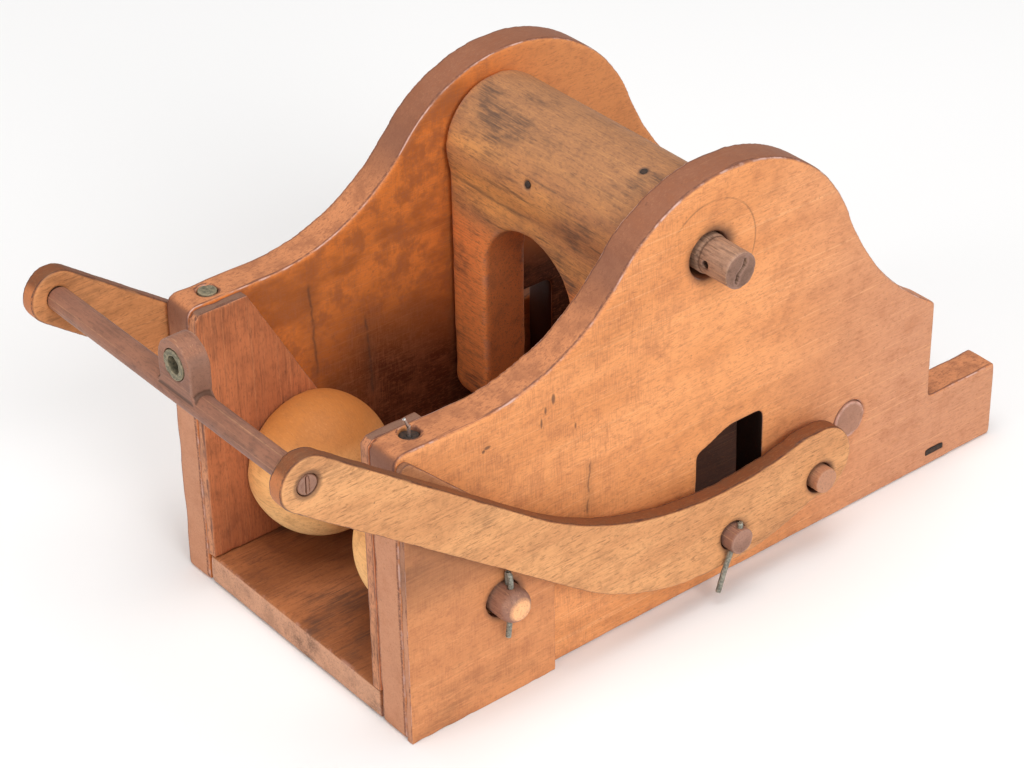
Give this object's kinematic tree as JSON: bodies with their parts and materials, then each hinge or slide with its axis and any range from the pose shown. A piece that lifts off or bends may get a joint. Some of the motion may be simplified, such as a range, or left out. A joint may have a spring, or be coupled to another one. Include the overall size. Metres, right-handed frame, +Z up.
{
  "type": "wooden bench press",
  "caption": "Hand-made wooden press: hump-backed cheeks on a board, a swinging arched yoke, two balls on an axle and a lifting bail with an eye.",
  "frame": {"origin": "middle of the underside of the base, halfway along the cheeks and between them", "axes": "+X to the right, towards the side where the shaft's free end stands out; +Y from the open front with the balls to the low tail; +Z up"},
  "size_m": [0.1438, 0.3017, 0.152],
  "materials": {
    "cheek_wood": "worn satin",
    "floor_wood": "grimy",
    "liner_wood": "worn satin",
    "yoke_wood": "worn satin",
    "shaft_wood": "grimy",
    "ball_wood": "turned, satin",
    "arm_wood": "worn satin",
    "dark_wood": "darkened",
    "iron": "rusted dark",
    "dull_metal": "oxidised grey-green",
    "bright_wire": "rubbed"
  },
  "bodies": {
    "frame": {"left_cheek": "cheek_wood", "right_cheek": "cheek_wood", "floor_board": "floor_wood", "left_liner": "liner_wood", "right_liner": "liner_wood", "right_pad": "cheek_wood", "rear_stretcher": "dark_wood", "floor_nails": "iron", "left_top_pin": "dull_metal", "right_top_pin": "iron", "wire_stub": "bright_wire", "left_pivot_peg": "dark_wood", "right_pivot_peg": "dark_wood", "ball_axle": "dark_wood", "left_axle_cotter": "dull_metal", "right_axle_cotter": "dull_metal"},
    "yoke_body": {"yoke": "yoke_wood", "yoke_shaft": "shaft_wood", "hub_nails": "iron"},
    "left_ball_body": {"left_ball": "ball_wood"},
    "right_ball_body": {"right_ball": "ball_wood"},
    "bail_body": {"left_arm": "arm_wood", "right_arm": "arm_wood", "crossbar": "dark_wood", "eyelet": "dull_metal", "tenon_wedges": "dark_wood", "lift_pin": "dark_wood", "left_pin_cotter": "dull_metal", "right_pin_cotter": "dull_metal"}
  },
  "joints": [
    {"name": "yoke_swing", "type": "hinge", "parent": "frame", "child": "yoke_body", "pos_m": [0, -0.0065, 0.125], "axis": [1, 0, 0], "range_deg": [-24, 90]},
    {"name": "left_ball_spin", "type": "hinge", "parent": "frame", "child": "left_ball_body", "pos_m": [-0.033, -0.0913, 0.038], "axis": [1, 0, 0], "continuous": true},
    {"name": "right_ball_spin", "type": "hinge", "parent": "frame", "child": "right_ball_body", "pos_m": [0.025, -0.0913, 0.038], "axis": [1, 0, 0], "continuous": true},
    {"name": "bail_lift", "type": "hinge", "parent": "frame", "child": "bail_body", "pos_m": [0, 0.0352, 0.0286], "axis": [-1, 0, 0], "range_deg": [0, 44]}
  ]
}
